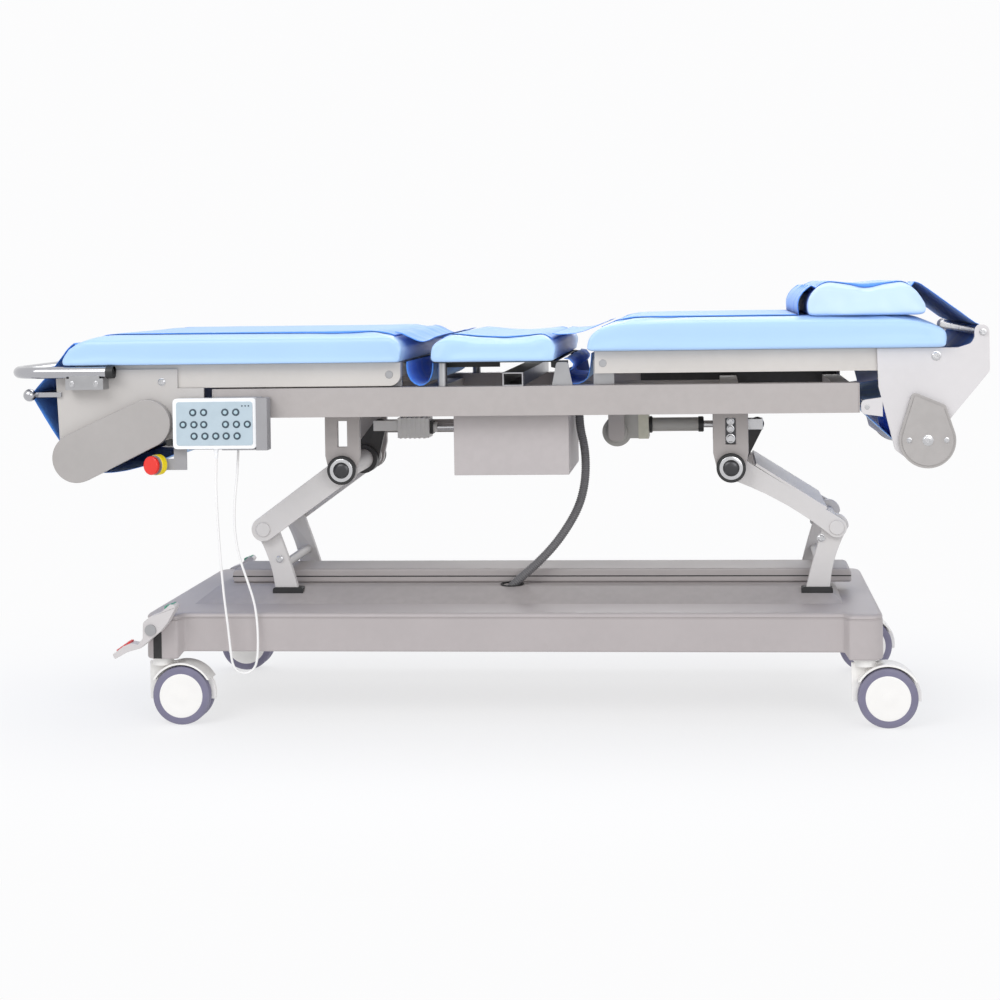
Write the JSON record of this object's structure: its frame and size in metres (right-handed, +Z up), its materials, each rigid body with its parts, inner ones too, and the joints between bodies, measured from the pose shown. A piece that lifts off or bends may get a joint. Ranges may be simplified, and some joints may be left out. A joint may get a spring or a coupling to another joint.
{
  "type": "ultrasound examination table",
  "caption": "Height-adjustable examination table with cushioned sections, a roll sheet, curved lift arms, a low base on casters, a handset and brake pedals.",
  "frame": {"origin": "on the floor, at the middle of the length and of the width", "axes": "+X towards the head end, +Y towards the far side (the handset is on the -Y side), +Z up"},
  "size_m": [2.078, 0.65, 0.9266],
  "materials": {
    "frame_paint": "light grey powder coat",
    "section_paint": "light grey powder coat",
    "plate_paint": "white powder coat",
    "lever_black": "black, satin",
    "pivot_steel": "turned, with a black ring",
    "hinge_steel": "zinc plated",
    "seat_panel": "dark grey panel",
    "cap_black": "moulded plugs",
    "box_paint": "folded sheet tray",
    "unit_plastic": "moulded housing",
    "handset_white": "white case, pale blue key face",
    "holder_grey": "moulded",
    "gland_black": "moulded",
    "drive_white": "ribbed motor housing and tube",
    "drive_grey": "cast and drawn, satin",
    "rod_steel": "bright",
    "base_plastic": "moulded grey cover",
    "base_steel": "dark primer",
    "caster_white": "moulded white",
    "caster_tread": "grey tread on white discs",
    "pedal_grey": "grey arm, red and green treads",
    "cushion_vinyl": "pale blue coated fabric",
    "pillow_vinyl": "paler blue coated fabric",
    "cover_white": "white, bare",
    "bright_chrome": "polished",
    "clamp_grey": "grey, satin",
    "stop_yellow": "yellow collar, grey body",
    "stop_red": "red, bare",
    "hub_white": "white, bright chamfer",
    "roll_sheet": "blue non-woven sheet on a core",
    "roller_metal": "satin tube",
    "roller_rubber": "grip surface",
    "conduit_grey": "corrugated",
    "cord_white": "smooth"
  },
  "bodies": {
    "base": {"base_cover": "base_plastic", "base_lid": "base_plastic", "base_frame": "base_steel", "head_struts": "frame_paint", "foot_struts": "frame_paint", "cable_grommet": "gland_black", "conduit": "conduit_grey"},
    "head_arm": {"head_lift_arms": "frame_paint", "head_lever": "lever_black"},
    "bed_frame": {"main_frame": "frame_paint", "frame_caps": "cap_black", "section_hinges": "hinge_steel", "seat_supports": "hinge_steel", "head_hangers": "frame_paint", "head_upper_shaft": "pivot_steel", "control_box": "box_paint", "control_unit": "unit_plastic", "handset_holder": "holder_grey", "conduit_gland": "gland_black", "handset_cord": "cord_white"},
    "foot_arm": {"foot_lift_arms": "frame_paint", "foot_lever": "lever_black"},
    "foot_carriage": {"foot_hanger": "frame_paint", "foot_upper_shaft": "pivot_steel"},
    "head_drive": {"head_actuator": "drive_grey"},
    "head_drive_rod": {"head_actuator_rod": "rod_steel"},
    "foot_drive_rod": {"foot_actuator_rod": "rod_steel"},
    "foot_drive": {"foot_actuator": "drive_white"},
    "seat_section": {"seat_pan": "seat_panel", "seat_cushion": "cushion_vinyl"},
    "leg_section": {"leg_frame": "section_paint", "leg_cushion": "cushion_vinyl", "foot_side_plates": "plate_paint", "belt_cover": "cover_white", "sheet_bar": "bright_chrome", "foot_handle": "bright_chrome", "handle_clamps": "clamp_grey", "stop_housing": "stop_yellow"},
    "back_section": {"back_frame": "section_paint", "back_cushion": "cushion_vinyl", "pillow": "pillow_vinyl", "head_side_plates": "plate_paint", "hub_covers": "hub_white"},
    "supply_spool": {"supply_roll": "roll_sheet"},
    "ear_roller": {"top_roller": "roller_metal"},
    "low_roller": {"guide_roller": "roller_metal"},
    "grip_roller": {"nip_roller": "roller_rubber"},
    "takeup_spool": {"takeup_roll": "roll_sheet"},
    "stop_cap": {"stop_button": "stop_red"},
    "handset_body": {"handset": "handset_white"},
    "pedal_near": {"brake_pedal_near": "pedal_grey"},
    "pedal_far": {"brake_pedal_far": "pedal_grey"},
    "fork_head_near": {"caster_fork_head_near": "caster_white"},
    "wheel_head_near": {"caster_wheel_head_near": "caster_tread"},
    "fork_head_far": {"caster_fork_head_far": "caster_white"},
    "wheel_head_far": {"caster_wheel_head_far": "caster_tread"},
    "fork_foot_near": {"caster_fork_foot_near": "caster_white"},
    "wheel_foot_near": {"caster_wheel_foot_near": "caster_tread"},
    "fork_foot_far": {"caster_fork_foot_far": "caster_white"},
    "wheel_foot_far": {"caster_wheel_foot_far": "caster_tread"}
  },
  "joints": [
    {"name": "lift", "type": "hinge", "parent": "base", "child": "head_arm", "pos_m": [0.733, 0, 0.398], "axis": [0, 1, 0], "range_deg": [-25, 6], "deforming": ["conduit"]},
    {"name": "bed_level", "type": "hinge", "parent": "head_arm", "child": "bed_frame", "pos_m": [0.508, 0, 0.531], "axis": [0, 1, 0], "range_deg": [-6, 25]},
    {"name": "foot_lift", "type": "hinge", "parent": "base", "child": "foot_arm", "pos_m": [-0.524, 0, 0.398], "axis": [0, 1, 0], "range_deg": [-7.32, 30.5]},
    {"name": "foot_level", "type": "hinge", "parent": "foot_arm", "child": "foot_carriage", "pos_m": [-0.34, 0, 0.531], "axis": [0, 1, 0], "range_deg": [-30.5, 7.32]},
    {"name": "head_drive_swing", "type": "hinge", "parent": "bed_frame", "child": "head_drive", "pos_m": [0.256, 0, 0.598], "axis": [0, 1, 0], "range_deg": [-4.2, 1]},
    {"name": "head_rod_slide", "type": "slide", "parent": "head_drive", "child": "head_drive_rod", "axis": [1, 0, 0], "range_m": [-0.0382, 0.0095]},
    {"name": "foot_drive_swing", "type": "hinge", "parent": "foot_carriage", "child": "foot_drive_rod", "pos_m": [-0.108, 0.075, 0.603], "axis": [0, 1, 0], "range_deg": [-9, 2.16]},
    {"name": "foot_drive_slide", "type": "slide", "parent": "foot_drive_rod", "child": "foot_drive", "axis": [-1, 0, 0], "range_m": [-0.0315, 0.0076]},
    {"name": "backrest", "type": "hinge", "parent": "bed_frame", "child": "back_section", "pos_m": [0.242, 0, 0.764], "axis": [0, -1, 0], "range_deg": [0, 60]},
    {"name": "leg_rest", "type": "hinge", "parent": "bed_frame", "child": "leg_section", "pos_m": [-0.211, 0, 0.745], "axis": [0, 1, 0], "range_deg": [0, 20]},
    {"name": "seat_tilt", "type": "hinge", "parent": "bed_frame", "child": "seat_section", "pos_m": [0.155, 0, 0.762], "axis": [0, 1, 0], "range_deg": [0, 8]},
    {"name": "swivel_head_near", "type": "hinge", "parent": "base", "child": "fork_head_near", "pos_m": [0.779, -0.255, 0.18], "axis": [0, 0, 1], "continuous": true},
    {"name": "spin_head_near", "type": "hinge", "parent": "fork_head_near", "child": "wheel_head_near", "pos_m": [0.824, -0.255, 0.0625], "axis": [0, 1, 0], "continuous": true},
    {"name": "swivel_head_far", "type": "hinge", "parent": "base", "child": "fork_head_far", "pos_m": [0.779, 0.255, 0.18], "axis": [0, 0, 1], "continuous": true},
    {"name": "spin_head_far", "type": "hinge", "parent": "fork_head_far", "child": "wheel_head_far", "pos_m": [0.824, 0.255, 0.0625], "axis": [0, 1, 0], "continuous": true},
    {"name": "swivel_foot_near", "type": "hinge", "parent": "base", "child": "fork_foot_near", "pos_m": [-0.717, -0.255, 0.18], "axis": [0, 0, 1], "continuous": true},
    {"name": "spin_foot_near", "type": "hinge", "parent": "fork_foot_near", "child": "wheel_foot_near", "pos_m": [-0.672, -0.255, 0.0625], "axis": [0, 1, 0], "continuous": true},
    {"name": "swivel_foot_far", "type": "hinge", "parent": "base", "child": "fork_foot_far", "pos_m": [-0.717, 0.255, 0.18], "axis": [0, 0, 1], "continuous": true},
    {"name": "spin_foot_far", "type": "hinge", "parent": "fork_foot_far", "child": "wheel_foot_far", "pos_m": [-0.672, 0.255, 0.0625], "axis": [0, 1, 0], "continuous": true},
    {"name": "brake_near", "type": "hinge", "parent": "base", "child": "pedal_near", "pos_m": [-0.722, -0.307, 0.212], "axis": [0, 1, 0], "range_deg": [0, 25]},
    {"name": "brake_far", "type": "hinge", "parent": "base", "child": "pedal_far", "pos_m": [-0.722, 0.307, 0.212], "axis": [0, 1, 0], "range_deg": [0, 25]},
    {"name": "stop_press", "type": "slide", "parent": "leg_section", "child": "stop_cap", "axis": [0.4226, 0.9063, 0], "range_m": [0, 0.005]},
    {"name": "supply_spin", "type": "hinge", "parent": "back_section", "child": "supply_spool", "pos_m": [0.9095, 0, 0.5995], "axis": [0, 1, 0], "continuous": true},
    {"name": "ear_roller_spin", "type": "hinge", "parent": "back_section", "child": "ear_roller", "pos_m": [1.024, 0, 0.821], "axis": [0, 1, 0], "continuous": true},
    {"name": "low_roller_spin", "type": "hinge", "parent": "back_section", "child": "low_roller", "pos_m": [0.788, 0, 0.668], "axis": [0, 1, 0], "continuous": true},
    {"name": "grip_spin", "type": "hinge", "parent": "leg_section", "child": "grip_roller", "pos_m": [-0.884, 0, 0.575], "axis": [0, 1, 0], "continuous": true},
    {"name": "takeup_spin", "type": "hinge", "parent": "leg_section", "child": "takeup_spool", "pos_m": [-0.66, 0, 0.641], "axis": [0, 1, 0], "continuous": true},
    {"name": "handset_lift", "type": "slide", "parent": "bed_frame", "child": "handset_body", "axis": [0, 0, 1], "range_m": [0, 0.06]}
  ],
  "couplings": [
    {"joint": "bed_level", "follows": "lift", "ratio": -1},
    {"joint": "foot_lift", "follows": "lift", "ratio": -1.22},
    {"joint": "foot_level", "follows": "lift", "ratio": 1.22},
    {"joint": "head_drive_swing", "follows": "lift", "ratio": 0.165},
    {"joint": "head_rod_slide", "follows": "lift", "m_per_rad": 0.087},
    {"joint": "foot_drive_swing", "follows": "lift", "ratio": 0.36},
    {"joint": "foot_drive_slide", "follows": "lift", "m_per_rad": 0.072},
    {"joint": "brake_far", "follows": "brake_near", "ratio": 1},
    {"joint": "ear_roller_spin", "follows": "supply_spin", "ratio": 4.1818},
    {"joint": "low_roller_spin", "follows": "supply_spin", "ratio": 4.1818},
    {"joint": "takeup_spin", "follows": "grip_spin", "ratio": 0.6383}
  ]
}
